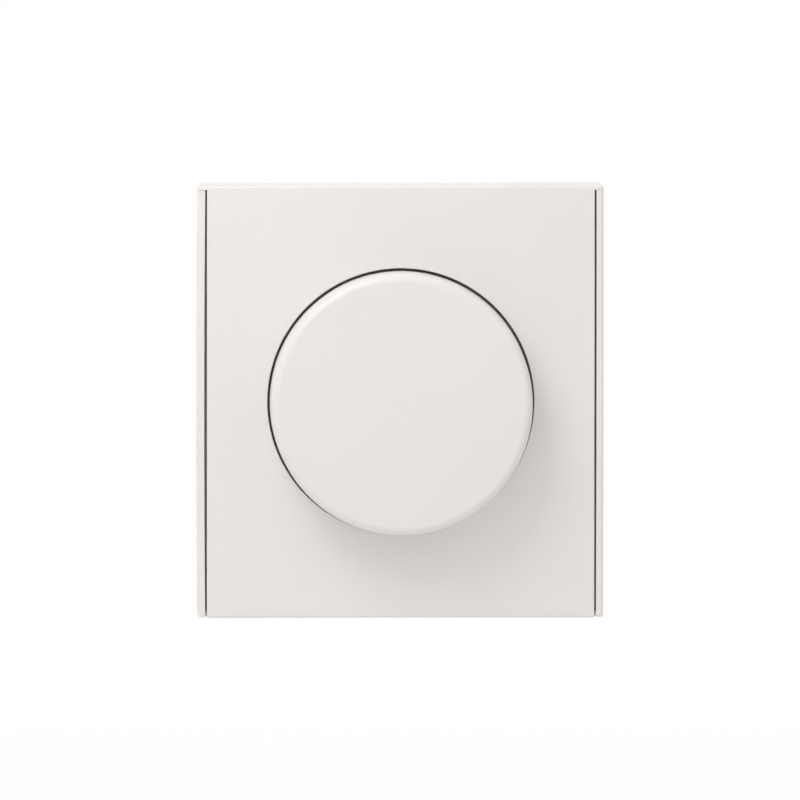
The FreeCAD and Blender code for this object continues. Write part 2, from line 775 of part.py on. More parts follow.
def make_terminal_clamp(x):
    """A square cage of steel strip, threaded at its back, that rises to grip the wire."""
    half, half_height = cage_width / 2, cage_height / 2
    low, high = terminal_z - half_height, terminal_z + half_height
    cage = block(x - half, x + half, cage_front, cage_back, low, high)
    inner = half - cage_strip
    hollow = block(x - inner, x + inner, cage_front + cage_strip, cage_rear_wall, low, high)
    thread = rod(terminal_screw_radius + thread_clearance, cage_rear_wall, cage_back, x, terminal_z)
    return cage.cut([hollow, thread])


def make_terminal_screw(x):
    shank = rod(terminal_screw_radius, bar_back + touch_gap, head_front, x, terminal_z)
    head = rod(terminal_head_radius, head_front, head_back, x, terminal_z)
    return fused(shank, head).cut(drive_slot(terminal_head_radius, head_back, x, terminal_z, -1))


def claw_line_x(y):
    """Where the claw's inner face lies, as far out as the ramp below it asks."""
    return cup_flat + claw_clearance + claw_slope * (claw_rear - y)


def make_claw():
    """The right claw: a strip that lies on the ramps, with a foot for the nut and a tooth outside."""
    across = claw_thickness * math.sqrt(1 + claw_slope ** 2)
    foot_back = claw_rear + claw_thickness
    tooth_x = claw_line_x(claw_front) + across + claw_tooth
    outline = [(claw_line_x(claw_rear), foot_back), (claw_line_x(claw_rear), claw_rear),
               (claw_line_x(claw_front), claw_front), (tooth_x, claw_front - claw_thickness / 2),
               (tooth_x, claw_front + claw_thickness / 4),
               (claw_line_x(claw_front + claw_thickness) + across, claw_front + claw_thickness),
               (claw_line_x(claw_rear) + across, claw_rear), (claw_foot_reach, claw_rear),
               (claw_foot_reach, foot_back)]
    strip = drawn_in_plan(outline, -claw_half_width, claw_half_width)
    radius = claw_screw_radius + claw_clearance * 2
    far_in = cup_flat - cup_wall
    slot = block(far_in, claw_screw_x, 0, foot_back, -radius, radius)
    return strip.cut([slot, rod(radius, 0, foot_back, claw_screw_x)])


def make_claw_screw():
    end = claw_nut_y + claw_nut_thickness + claw_clearance
    shank = rod(claw_screw_radius, -ring_thickness, end, claw_screw_x)
    head_face = -ring_thickness - claw_screw_head
    head = rod(claw_screw_head_radius, head_face, -ring_thickness, claw_screw_x)
    return fused(shank, head).cut(drive_slot(claw_screw_head_radius, head_face, claw_screw_x, 0, 1))


def make_claw_nut():
    half = claw_nut_size / 2
    nut = block(claw_screw_x - half, claw_screw_x + half, claw_nut_y, claw_nut_y + claw_nut_thickness,
                -half, half)
    return nut.cut(rod(claw_screw_radius + thread_clearance, claw_nut_y, claw_nut_y + claw_nut_thickness,
                       claw_screw_x))


def make_cup_screws():
    """The two screws that hold the support ring to the insert cup."""
    screws = []
    for x, z in cup_screw_places:
        head_face = -ring_thickness - cup_screw_head
        head = rod(cup_screw_head_radius, head_face, -ring_thickness, x, z)
        shank = rod(cup_screw_radius, -ring_thickness, cup_screw_length - touch_gap, x, z)
        screws.append(fused(shank, head).cut(drive_slot(cup_screw_head_radius, head_face, x, z, 1)))
    return screws


def make_heat_sink():
    """A folded aluminium angle behind the ring that cools the triac."""
    half, thickness = heat_sink_width / 2, heat_sink_thickness
    flange = block(-half, half, 0, thickness, heat_sink_top - heat_sink_flange, heat_sink_top)
    leg = block(-half, half, 0, heat_sink_length, heat_sink_top - thickness, heat_sink_top)
    hole = Part.makeCylinder(cup_screw_radius + thread_clearance, thickness,
                             V(0, triac_screw_y, heat_sink_top - thickness), V(0, 0, 1))
    return fused(flange, leg).cut(hole)


def make_triac():
    """The triac's moulded body, its metal tab and three legs to the board."""
    half, top = triac_width / 2, heat_sink_top - heat_sink_thickness
    front = triac_back - triac_length
    body = block(-half, half, front, triac_back, top - triac_height, top)
    tab = block(-half, half, front - triac_tab_length, front, top - triac_tab, top)
    middle = top - triac_height / 2
    legs = []
    for x in (-triac_leg_pitch, 0, triac_leg_pitch):
        legs.append(block(x - tag_width / 2, x + tag_width / 2, triac_back, board_front,
                          middle - tag_thickness / 2, middle + tag_thickness / 2))
    hole = Part.makeCylinder(cup_screw_radius + thread_clearance, triac_tab,
                             V(0, triac_screw_y, top - triac_tab), V(0, 0, 1))
    return fused(body, tab, *legs).cut(hole)


def make_triac_screw():
    """The screw that clamps the triac's tab to the heat sink."""
    top = heat_sink_top - heat_sink_thickness
    up = V(0, 0, 1)
    under_tab = V(0, triac_screw_y, top - triac_tab)
    shank = Part.makeCylinder(cup_screw_radius, triac_tab + heat_sink_thickness, under_tab, up)
    head = Part.makeCylinder(triac_screw_head_radius, cup_screw_head, under_tab, V(0, 0, -1))
    return fused(shank, head)


def make_choke_core():
    return tube(choke_outer_radius, choke_inner_radius, board_front - choke_wire - choke_height,
                board_front - choke_wire, choke_x, choke_z)


def make_choke_winding():
    """The copper winding, as the sleeve that its turns form round the core."""
    outer, inner = choke_outer_radius + choke_wire, choke_inner_radius - choke_wire
    sleeve = tube(outer, inner, board_front - choke_height - 2 * choke_wire, board_front, choke_x, choke_z)
    return sleeve.cut(make_choke_core()).cut(
        block(choke_x - choke_wire, choke_x + choke_wire, 0, board_front, choke_z, choke_z + 2 * outer))


def make_film_capacitor():
    half = capacitor_width / 2
    body = block(capacitor_x - half, capacitor_x + half, board_front - capacitor_depth, board_front,
                 -capacitor_height / 2, capacitor_height / 2)
    return body.makeFillet(edge_round, edges_along_y(body))


def make_small_capacitor():
    half_width, half_height = small_capacitor_width / 2, small_capacitor_height / 2
    x, z = small_capacitor_x, small_capacitor_z
    body = block(x - half_width, x + half_width, board_front - small_capacitor_depth, board_front,
                 z - half_height, z + half_height)
    return body.makeFillet(edge_round, edges_along_y(body))


def make_resistors():
    """Two resistors that lie on the board, their waists a little thinner than their ends."""
    middle_x = (fuse_x + fuse_radius - switch_size / 2) / 2
    bodies = []
    for side in (-1, 1):
        x = middle_x + side * resistor_pitch / 2
        y = board_front - resistor_radius
        waist = Part.makeCylinder(resistor_waist_radius, resistor_length, V(x, y, 0), V(0, 0, 1))
        end = resistor_length / 4
        ends = [Part.makeCylinder(resistor_radius, end, V(x, y, z), V(0, 0, 1))
                for z in (0, resistor_length - end)]
        bodies.append(fused(waist, *ends))
    return bodies


def upright_tube(outer, inner, low, high):
    """A hollow cylinder along the fuse's axis."""
    centre = V(fuse_x, fuse_axis_y(), low)
    up = V(0, 0, 1)
    bore = Part.makeCylinder(inner, high - low, centre, up)
    return Part.makeCylinder(outer, high - low, centre, up).cut(bore)


def fuse_axis_y():
    return board_front - fuse_clip_strip - fuse_radius - fuse_wall


def make_fuse_tube():
    half = fuse_length / 2 - fuse_wall
    return upright_tube(fuse_radius - fuse_wall, fuse_radius - fuse_wall - fuse_glass, -half, half)


def make_fuse_caps():
    """The metal caps at both ends of the fuse."""
    half = fuse_length / 2
    caps = []
    for side in (-1, 1):
        low, high = sorted((side * half, side * (half - fuse_cap)))
        inner_low, inner_high = sorted((side * (half - fuse_wall), side * (half - fuse_cap)))
        centre = V(fuse_x, fuse_axis_y(), low)
        cap = Part.makeCylinder(fuse_radius, high - low, centre, V(0, 0, 1))
        hollow = Part.makeCylinder(fuse_radius - fuse_wall, inner_high - inner_low,
                                   V(fuse_x, fuse_axis_y(), inner_low), V(0, 0, 1))
        caps.append(cap.cut(hollow))
    return caps


def make_fuse_clips():
    """Two sprung clips on the board that hold the fuse by its caps."""
    half_gap = fuse_radius + touch_gap
    outer = half_gap + fuse_clip_strip
    front = fuse_axis_y() - fuse_clip_rise
    clips = []
    for side in (-1, 1):
        middle = side * (fuse_length - fuse_cap) / 2
        low, high = middle - fuse_clip_width / 2, middle + fuse_clip_width / 2
        clip = block(fuse_x - outer, fuse_x + outer, front, board_front, low, high)
        gap = block(fuse_x - half_gap, fuse_x + half_gap, front, board_front - fuse_clip_strip, low, high)
        clips.append(clip.cut(gap))
    return clips


def make_trimmer_body():
    """The housing of the lowest-brightness trimmer, recessed for its rotor."""
    half = trimmer_size / 2
    front = board_front - trimmer_depth
    body = block(trimmer_x - half, trimmer_x + half, front, board_front, trimmer_z - half, trimmer_z + half)
    recess = rod(trimmer_rotor_radius + running_clearance, front, board_front - trimmer_depth / 2,
                 trimmer_x, trimmer_z)
    return body.cut(recess)


def make_trimmer_spindle():
    """The slotted spindle that a screwdriver turns through the support ring."""
    spindle = rod(trimmer_rotor_radius, trimmer_recess, board_front - trimmer_depth / 2 - touch_gap,
                  trimmer_x, trimmer_z)
    return spindle.cut(drive_slot(trimmer_rotor_radius, trimmer_recess, trimmer_x, trimmer_z, 1))


def save(name, shape):
    """Write one node, whose shape is a solid or a list of separate solids."""
    solids = shape if isinstance(shape, list) else [shape]
    solids = [s for piece in solids for s in piece.Solids]
    whole = solids[0] if len(solids) == 1 else Part.makeCompound(solids)
    whole.exportStep("parts/" + name + ".step")


def main():
    os.makedirs("parts", exist_ok=True)
    save("cover_frame", make_cover_frame())
    save("centre_plate", make_centre_plate())
    save("knob", make_knob())
    save("knob_clip", make_knob_clip())
    save("plate_washer", make_plate_washer())
    save("plate_nut", make_plate_nut())
    save("shaft", make_shaft())
    save("pot_bush", make_pot_bush())
    save("pot_case", make_pot_case())
    save("pot_track", make_pot_track())
    save("pot_tags", make_pot_tags())
    save("wiper_rotor", make_wiper_rotor())
    save("wiper_contact", make_wiper_contact())
    save("switch_case", make_switch_case())
    save("switch_contacts", make_switch_contacts())
    save("switch_plunger", make_switch_plunger())
    save("switch_spring", make_switch_spring())
    save("support_ring", make_support_ring())
    save("insert_cup", make_insert_cup())
    save("rear_cover", make_rear_cover())
    save("cup_screws", make_cup_screws())
    save("circuit_board", make_circuit_board())
    save("heat_sink", make_heat_sink())
    save("triac", make_triac())
    save("triac_screw", make_triac_screw())
    save("choke_core", make_choke_core())
    save("choke_winding", make_choke_winding())
    save("film_capacitor", make_film_capacitor())
    save("small_capacitor", make_small_capacitor())
    save("resistors", make_resistors())
    save("fuse_tube", make_fuse_tube())
    save("fuse_caps", make_fuse_caps())
    save("fuse_clips", make_fuse_clips())
    save("trimmer_body", make_trimmer_body())
    save("trimmer_spindle", make_trimmer_spindle())
    save("terminal_bars", make_terminal_bars())
    for number, x in enumerate(terminal_places, 1):
        save("terminal_clamp_" + str(number), make_terminal_clamp(x))
        save("terminal_screw_" + str(number), make_terminal_screw(x))
    pairs = {"claw": make_claw(), "claw_screw": make_claw_screw(), "claw_nut": make_claw_nut()}
    for piece, shape in pairs.items():
        save(piece + "_right", shape)
        save(piece + "_left", mirrored(shape))


main()
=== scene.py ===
# %% [markdown]
# # A rotary dimmer switch, dressed for its portrait
# The construction model arrives as a frame of named pieces, each in its true place in metres. This
# lesson gives those pieces their plastics and metals, makes finer versions of the ones whose form
# needs it, and lights them as in the product picture. The wall is the plane y = 0, the front faces
# -Y and +Z is up.

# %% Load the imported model
import bpy
import json
import math
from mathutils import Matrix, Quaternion, Vector


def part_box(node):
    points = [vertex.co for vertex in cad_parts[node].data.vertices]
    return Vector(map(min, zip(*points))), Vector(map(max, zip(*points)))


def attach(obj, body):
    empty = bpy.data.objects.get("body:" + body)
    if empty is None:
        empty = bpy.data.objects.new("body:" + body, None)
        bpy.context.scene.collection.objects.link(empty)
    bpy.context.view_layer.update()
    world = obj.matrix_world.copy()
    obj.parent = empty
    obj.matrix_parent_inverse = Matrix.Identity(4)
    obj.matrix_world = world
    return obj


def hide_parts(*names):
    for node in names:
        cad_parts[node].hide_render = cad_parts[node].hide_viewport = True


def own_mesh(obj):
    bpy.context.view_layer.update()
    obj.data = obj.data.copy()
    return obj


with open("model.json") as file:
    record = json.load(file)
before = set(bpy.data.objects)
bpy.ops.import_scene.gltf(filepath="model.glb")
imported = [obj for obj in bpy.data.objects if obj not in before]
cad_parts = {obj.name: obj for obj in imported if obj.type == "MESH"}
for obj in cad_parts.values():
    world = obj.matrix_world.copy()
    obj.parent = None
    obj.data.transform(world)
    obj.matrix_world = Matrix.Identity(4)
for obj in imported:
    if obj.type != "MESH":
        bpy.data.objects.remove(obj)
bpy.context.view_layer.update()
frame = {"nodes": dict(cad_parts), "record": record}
nodes = frame["nodes"]
MM = 0.001

# %% [markdown]
# ## The camera
# The switch was photographed from nearly straight in front with a long lens: the top of the frame
# shows as a thin strip, so the camera stands a little higher than the switch, and the knob's face
# sits a hair to the right of its hole, so it also stands a little to the left. A long lens far away
# keeps the rails parallel. A level camera with a shifted lens would keep them exactly parallel, but
# a tilted one frames every other view as well, so the camera is simply aimed. At four and a half
# metres a knob that stands 10 mm proud grows by only a fifth of one per cent, so the grey side of
# the knob shows above its rim as it does in the picture. From up there and from the left, level
# edges would climb a little to the right. The camera is rolled by half of that slope, which shares
# it between the level and the upright edges.

# %% Aim a long lens at the plate
CAMERA_DISTANCE = 4.5
CAMERA_ELEVATION = math.radians(3.7)
CAMERA_AZIMUTH = math.radians(-1.7)
SEEN_WIDTH = 158.7 * MM
SENSOR_WIDTH = 36
FARTHEST_SEEN = 20
plate_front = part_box("centre_plate")[0].y
aim = Vector((-0.16 * MM, plate_front, 0.42 * MM))

camera_data = bpy.data.cameras.new("portrait_camera")
camera_data.sensor_width = SENSOR_WIDTH
camera_data.lens = SENSOR_WIDTH * CAMERA_DISTANCE / SEEN_WIDTH
camera_data.clip_end = FARTHEST_SEEN
camera = bpy.data.objects.new("portrait_camera", camera_data)
bpy.context.scene.collection.objects.link(camera)
toward_camera = Vector((math.sin(CAMERA_AZIMUTH) * math.cos(CAMERA_ELEVATION),
                        -math.cos(CAMERA_AZIMUTH) * math.cos(CAMERA_ELEVATION),
                        math.sin(CAMERA_ELEVATION)))
camera.location = aim + toward_camera * CAMERA_DISTANCE
half_slope = -math.tan(CAMERA_AZIMUTH) * math.sin(CAMERA_ELEVATION) / 2
straight = (-toward_camera).to_track_quat("-Z", "Y")
camera.rotation_euler = (straight @ Quaternion((0, 0, 1), half_slope)).to_euler()
bpy.context.scene.camera = camera
print("lens", round(camera_data.lens, 1), "mm at", tuple(round(v, 4) for v in camera.location))

# %% [markdown]
# ## The studio
# The picture has a white ground and soft light from the upper left, which throws the knob's shadow
# to the lower right. The plate is lighter at its upper left than at its lower right, so the key
# lamp stands near, where its light falls off within the width of the plate. Each lamp was tried
# alone and given the strength at which their sum comes nearest to the picture's shading. Two more
# stand far behind the wall plane, where only the back gets their light, so that the insert can be
# looked at as well as the front. The white ground isn't made with more light: the world is simply
# white to the camera, to glossy reflections and to glass, and the floor is white to the camera,
# while the pieces are lit at a plain level. Near the switch the floor keeps a trace of its shading,
# so the switch still casts a shadow, and further off it fades to pure white.

# %% A world that is white to look at and plain to be lit by
SKY_LEVEL = 0.598
SKY_COLOUR = (1.0, 0.985, 0.975, 1)
scene = bpy.context.scene
scene.view_settings.view_transform = "Standard"
world = bpy.data.worlds.new("studio_world")
scene.world = world
world.use_nodes = True
wn, wl = world.node_tree.nodes, world.node_tree.links
wn.clear()
seen = wn.new("ShaderNodeBackground")
seen.inputs["Color"].default_value = (1, 1, 1, 1)
lighting = wn.new("ShaderNodeBackground")
lighting.inputs["Color"].default_value = SKY_COLOUR
lighting.inputs["Strength"].default_value = SKY_LEVEL
path = wn.new("ShaderNodeLightPath")
glossy = wn.new("ShaderNodeMath")
glossy.operation = "MAXIMUM"
through = wn.new("ShaderNodeMath")
through.operation = "MAXIMUM"
choose = wn.new("ShaderNodeMixShader")
world_out = wn.new("ShaderNodeOutputWorld")
wl.new(path.outputs["Is Camera Ray"], glossy.inputs[0])
wl.new(path.outputs["Is Glossy Ray"], glossy.inputs[1])
wl.new(glossy.outputs[0], through.inputs[0])
wl.new(path.outputs["Is Transmission Ray"], through.inputs[1])
wl.new(through.outputs[0], choose.inputs[0])
wl.new(lighting.outputs[0], choose.inputs[1])
wl.new(seen.outputs[0], choose.inputs[2])
wl.new(choose.outputs[0], world_out.inputs["Surface"])
print("world ready")

# %% A pale floor below the switch
FLOOR_Z = -0.13
FLOOR_SIZE = 12
FLOOR_COLOUR = (0.93, 0.93, 0.93, 1)
SHADOW_REACH = 0.9
LEAST_WHITE = 0.8
bpy.ops.object.select_all(action="DESELECT")
bpy.ops.mesh.primitive_plane_add(size=FLOOR_SIZE, location=(0, 0, FLOOR_Z))
floor = bpy.context.active_object
floor.name = "studio_floor"
floor_material = bpy.data.materials.new("studio_floor_white")
floor_material.use_nodes = True
fn, fl = floor_material.node_tree.nodes, floor_material.node_tree.links
floor_shader = fn["Principled BSDF"]
floor_shader.inputs["Base Color"].default_value = FLOOR_COLOUR
floor_shader.inputs["Roughness"].default_value = 0.9
floor_white = fn.new("ShaderNodeEmission")
floor_path = fn.new("ShaderNodeLightPath")
floor_place = fn.new("ShaderNodeTexCoord")
floor_distance = fn.new("ShaderNodeVectorMath")
floor_distance.operation = "LENGTH"
floor_fade = fn.new("ShaderNodeMapRange")
floor_fade.inputs["From Max"].default_value = SHADOW_REACH
floor_fade.inputs["To Min"].default_value = LEAST_WHITE
floor_share = fn.new("ShaderNodeMath")
floor_share.operation = "MULTIPLY"
floor_mix = fn.new("ShaderNodeMixShader")
fl.new(floor_place.outputs["Object"], floor_distance.inputs[0])
fl.new(floor_distance.outputs["Value"], floor_fade.inputs["Value"])
fl.new(floor_path.outputs["Is Camera Ray"], floor_share.inputs[0])
fl.new(floor_fade.outputs["Result"], floor_share.inputs[1])
fl.new(floor_share.outputs[0], floor_mix.inputs[0])
fl.new(floor_shader.outputs[0], floor_mix.inputs[1])
fl.new(floor_white.outputs[0], floor_mix.inputs[2])
fl.new(floor_mix.outputs[0], fn["Material Output"].inputs["Surface"])
floor.data.materials.append(floor_material)
print("floor at", FLOOR_Z)


# %% Soft lamps
def soft_lamp(name, place, size, power):
    """A square area lamp that faces the plate."""
    data = bpy.data.lights.new(name, "AREA")
    data.shape = "SQUARE"
    data.size = size
    data.energy = power
    lamp = bpy.data.objects.new(name, data)
    lamp.location = place
    lamp.rotation_euler = (aim - Vector(place)).to_track_quat("-Z", "Y").to_euler()
    lamp.visible_camera = False
    bpy.context.scene.collection.objects.link(lamp)


soft_lamp("key_upper_left", (-0.156, -0.195, 0.312), 0.2, 0.57)
soft_lamp("fill_front", (-0.15, -0.5, 0.3), 0.4, 0.25)
soft_lamp("fill_left", (-0.3, -0.3, 0.25), 0.2, 0.15)
soft_lamp("fill_right", (0.6, -0.5, 0.5), 0.5, 0.47)
soft_lamp("back_right", (0.9, 1.4, 0.1), 1.2, 5.0)
soft_lamp("back_left", (-0.9, 1.4, 0.1), 1.2, 5.0)

# %% [markdown]
# ## Effects that many materials share
# Real moulded plastic has a fine grain from its mould, and turned or rolled metal has streaks along
# one direction. Both are small patterns that several materials need, so each is built once as a
# node group with named sockets. A group gives out values only; every material keeps its own
# Principled shader.


# %% A helper that makes a node group with named sockets
def new_group(name, inputs, outputs):
    """A shader node group with float inputs (name, default) and float or colour outputs."""
    group = bpy.data.node_groups.new(name, "ShaderNodeTree")
    for socket_name, value in inputs:
        socket = group.interface.new_socket(socket_name, in_out="INPUT",
                                            socket_type="NodeSocketFloat")
        socket.default_value = value
    for socket_name in outputs:
        group.interface.new_socket(socket_name, in_out="OUTPUT", socket_type="NodeSocketFloat")
    entry = group.nodes.new("NodeGroupInput")
    leave = group.nodes.new("NodeGroupOutput")
    coords = group.nodes.new("ShaderNodeTexCoord")
    return group, entry, leave, coords


# %% The grain of moulded plastic
TONE_SCALE = 38
SPECK_CELLS = 95
SPECK_RADIUS = 0.02
moulded_grain, entry, leave, coords = new_group(
    "moulded_grain", [("Grain Size", 0.0004), ("Speck Share", 0.0)], ["Height", "Tone", "Specks"])
gn, gl = moulded_grain.nodes, moulded_grain.links
grain_scale = gn.new("ShaderNodeMath")
grain_scale.operation = "DIVIDE"
grain_scale.inputs[0].default_value = 1.0
gl.new(entry.outputs["Grain Size"], grain_scale.inputs[1])
fine = gn.new("ShaderNodeTexNoise")
fine.inputs["Detail"].default_value = 3
gl.new(coords.outputs["Object"], fine.inputs["Vector"])
gl.new(grain_scale.outputs[0], fine.inputs["Scale"])
gl.new(fine.outputs["Fac"], leave.inputs["Height"])
broad = gn.new("ShaderNodeTexNoise")
broad.inputs["Scale"].default_value = TONE_SCALE
broad.inputs["Detail"].default_value = 2
gl.new(coords.outputs["Object"], broad.inputs["Vector"])
gl.new(broad.outputs["Fac"], leave.inputs["Tone"])
cells = gn.new("ShaderNodeTexVoronoi")
cells.inputs["Scale"].default_value = SPECK_CELLS
gl.new(coords.outputs["Object"], cells.inputs["Vector"])
lucky = gn.new("ShaderNodeSeparateColor")
gl.new(cells.outputs["Color"], lucky.inputs[0])
chosen = gn.new("ShaderNodeMath")
chosen.operation = "LESS_THAN"
gl.new(lucky.outputs[0], chosen.inputs[0])
gl.new(entry.outputs["Speck Share"], chosen.inputs[1])
small = gn.new("ShaderNodeMath")
small.operation = "LESS_THAN"
small.inputs[1].default_value = SPECK_RADIUS
gl.new(cells.outputs["Distance"], small.inputs[0])
speck = gn.new("ShaderNodeMath")
speck.operation = "MULTIPLY"
gl.new(chosen.outputs[0], speck.inputs[0])
gl.new(small.outputs[0], speck.inputs[1])
gl.new(speck.outputs[0], leave.inputs["Specks"])
print("group moulded_grain:", len(gn), "nodes")

# %% The streaks of rolled or turned metal
CLOUD_SCALE = 160
metal_streaks, entry, leave, coords = new_group(
    "metal_streaks", [("Across", 900.0), ("Along", 40.0)], ["Height", "Tone"])
gn, gl = metal_streaks.nodes, metal_streaks.links
stretch = gn.new("ShaderNodeCombineXYZ")
gl.new(entry.outputs["Across"], stretch.inputs["X"])
gl.new(entry.outputs["Across"], stretch.inputs["Y"])
gl.new(entry.outputs["Along"], stretch.inputs["Z"])
scaled = gn.new("ShaderNodeVectorMath")
scaled.operation = "MULTIPLY"
gl.new(coords.outputs["Object"], scaled.inputs[0])
gl.new(stretch.outputs[0], scaled.inputs[1])
streak = gn.new("ShaderNodeTexNoise")
streak.inputs["Scale"].default_value = 1
streak.inputs["Detail"].default_value = 2
gl.new(scaled.outputs[0], streak.inputs["Vector"])
gl.new(streak.outputs["Fac"], leave.inputs["Height"])
cloud = gn.new("ShaderNodeTexNoise")
cloud.inputs["Scale"].default_value = CLOUD_SCALE
gl.new(coords.outputs["Object"], cloud.inputs["Vector"])
gl.new(cloud.outputs["Fac"], leave.inputs["Tone"])
print("group metal_streaks:", len(gn), "nodes")

# %% [markdown]
# ## Plastics
# The frame, the plate and the knob are moulded in the same warm white plastic with a satin skin.
# Their colour wanders by a hair, as thick and thin places of a moulding do, and a few specks lie on
# them. The rest of the plastics follow the same recipe with other colours and coarser grain.


# %% A recipe for moulded plastic
SPECK_SHADE = 0.72
SKIN_SPREAD = 0.07
GRAIN_STRENGTH = 0.5


def plastic(name, colour, roughness, grain=0.0004, depth=0.02, wander=0.02, specks=0.0):
    """Moulded plastic: a colour that wanders a little, a fine grain and a few specks."""
    material = bpy.data.materials.new(name)
    material.use_nodes = True
    n, l = material.node_tree.nodes, material.node_tree.links
    shader = n["Principled BSDF"]
    group = n.new("ShaderNodeGroup")
    group.node_tree = moulded_grain
    group.inputs["Grain Size"].default_value = grain
    group.inputs["Speck Share"].default_value = specks
    tone = n.new("ShaderNodeMix")
    tone.data_type = "RGBA"
    tone.inputs["A"].default_value = (*[c * (1 - wander) for c in colour], 1)
    tone.inputs["B"].default_value = (*[min(1, c * (1 + wander)) for c in colour], 1)
    l.new(group.outputs["Tone"], tone.inputs["Factor"])
    speckled = n.new("ShaderNodeMix")
    speckled.data_type = "RGBA"
    speckled.inputs["B"].default_value = (*[c * SPECK_SHADE for c in colour], 1)
    l.new(group.outputs["Specks"], speckled.inputs["Factor"])
    l.new(tone.outputs["Result"], speckled.inputs["A"])
    l.new(speckled.outputs["Result"], shader.inputs["Base Color"])
    rough = n.new("ShaderNodeMapRange")
    rough.inputs["To Min"].default_value = roughness * (1 - SKIN_SPREAD)
    rough.inputs["To Max"].default_value = roughness * (1 + SKIN_SPREAD)
    l.new(group.outputs["Height"], rough.inputs["Value"])
    l.new(rough.outputs["Result"], shader.inputs["Roughness"])
    bump = n.new("ShaderNodeBump")
    bump.inputs["Strength"].default_value = GRAIN_STRENGTH
    bump.inputs["Distance"].default_value = depth * MM
    l.new(group.outputs["Height"], bump.inputs["Height"])
    l.new(bump.outputs["Normal"], shader.inputs["Normal"])
    return material


# %% The plastics of this switch
cover_white = (0.83, 0.80, 0.775)
finishes = {
    "cover_frame": plastic("satin_white_frame", cover_white, 0.42, specks=0.01),
    "centre_plate": plastic("satin_white_plate", cover_white, 0.42, specks=0.02),
    "knob": plastic("satin_white_knob", cover_white, 0.40, specks=0.006),
    "grey_plastic": plastic("grey_insert_plastic", (0.42, 0.42, 0.41), 0.62,
                            grain=0.0006, depth=0.06),
    "black_plastic": plastic("black_moulding", (0.02, 0.02, 0.02), 0.5),
    "phenolic": plastic("brown_laminate", (0.16, 0.07, 0.03), 0.55),
    "white_plastic": plastic("white_inner_plastic", (0.78, 0.78, 0.75), 0.5),
    "blue_plastic": plastic("blue_trimmer_plastic", (0.02, 0.10, 0.42), 0.45),
    "capacitor_case": plastic("yellow_capacitor_case", (0.62, 0.45, 0.06), 0.4),
    "capacitor_dip": plastic("brown_dipped_coat", (0.33, 0.10, 0.03), 0.25),
    "resistor_coat": plastic("beige_resistor_lacquer", (0.55, 0.40, 0.22), 0.35),
    "ferrite": plastic("coated_ferrite", (0.05, 0.06, 0.05), 0.6, grain=0.0003, depth=0.05),
    "board": plastic("green_circuit_board", (0.02, 0.14, 0.05), 0.4),
}
print("plastics:", len(finishes))


# %% [markdown]
# ## Metals
# Zinc-plated steel, turned brass and tinned strip differ in colour and in how fine their streaks
# are. A metal's colour goes in Base Color with Metallic at 1, and its streaks roughen it and ripple
# it a little.


# %% A recipe for metal
STREAK_SPREAD = 0.25
STREAK_STRENGTH = 0.3


def metal(name, colour, roughness, across=900.0, along=60.0, depth=0.01, wander=0.08):
    """Rolled, drawn or turned metal with fine streaks."""
    material = bpy.data.materials.new(name)
    material.use_nodes = True
    n, l = material.node_tree.nodes, material.node_tree.links
    shader = n["Principled BSDF"]
    shader.inputs["Metallic"].default_value = 1
    group = n.new("ShaderNodeGroup")
    group.node_tree = metal_streaks
    group.inputs["Across"].default_value = across
    group.inputs["Along"].default_value = along
    tone = n.new("ShaderNodeMix")
    tone.data_type = "RGBA"
    tone.inputs["A"].default_value = (*[c * (1 - wander) for c in colour], 1)
    tone.inputs["B"].default_value = (*[min(1, c * (1 + wander)) for c in colour], 1)
    l.new(group.outputs["Tone"], tone.inputs["Factor"])
    l.new(tone.outputs["Result"], shader.inputs["Base Color"])
    rough = n.new("ShaderNodeMapRange")
    rough.inputs["To Min"].default_value = roughness * (1 - STREAK_SPREAD)
    rough.inputs["To Max"].default_value = roughness * (1 + STREAK_SPREAD)
    l.new(group.outputs["Height"], rough.inputs["Value"])
    l.new(rough.outputs["Result"], shader.inputs["Roughness"])
    bump = n.new("ShaderNodeBump")
    bump.inputs["Strength"].default_value = STREAK_STRENGTH
    bump.inputs["Distance"].default_value = depth * MM
    l.new(group.outputs["Height"], bump.inputs["Height"])
    l.new(bump.outputs["Normal"], shader.inputs["Normal"])
    return material


# %% The metals of this switch
finishes["zinc_steel"] = metal("zinc_plated_steel", (0.62, 0.62, 0.60), 0.36)
finishes["spring_steel"] = metal("spring_strip", (0.55, 0.55, 0.54), 0.28)
finishes["shaft_steel"] = metal("turned_shaft_steel", (0.60, 0.60, 0.60), 0.24,
                                across=300, along=2500)
finishes["brass"] = metal("turned_brass", (0.72, 0.50, 0.20), 0.28)
finishes["tinned"] = metal("tinned_strip", (0.74, 0.74, 0.72), 0.32)
finishes["aluminium"] = metal("mill_aluminium", (0.78, 0.78, 0.79), 0.34, across=1500, along=30)
finishes["copper"] = metal("enamelled_copper", (0.60, 0.22, 0.09), 0.25, across=2000, along=200)
print("finishes so far:", len(finishes))

# %% The glass of the fuse
fuse_glass = bpy.data.materials.new("clear_fuse_glass")
fuse_glass.use_nodes = True
glass_shader = fuse_glass.node_tree.nodes["Principled BSDF"]
glass_shader.inputs["Base Color"].default_value = (0.93, 0.97, 0.96, 1)
glass_shader.inputs["Roughness"].default_value = 0.02
glass_shader.inputs["Transmission Weight"].default_value = 1
glass_shader.inputs["IOR"].default_value = 1.5
finishes["glass"] = fuse_glass
print("glass:", fuse_glass.name)

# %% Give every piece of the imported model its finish
slot_of = {s["node"]: s["material_slot"] for s in frame["record"]["subparts"]}
for name, piece in nodes.items():
    piece.data.materials.clear()
    piece.data.materials.append(finishes[slot_of[name]])
print("dressed", len(nodes), "pieces")

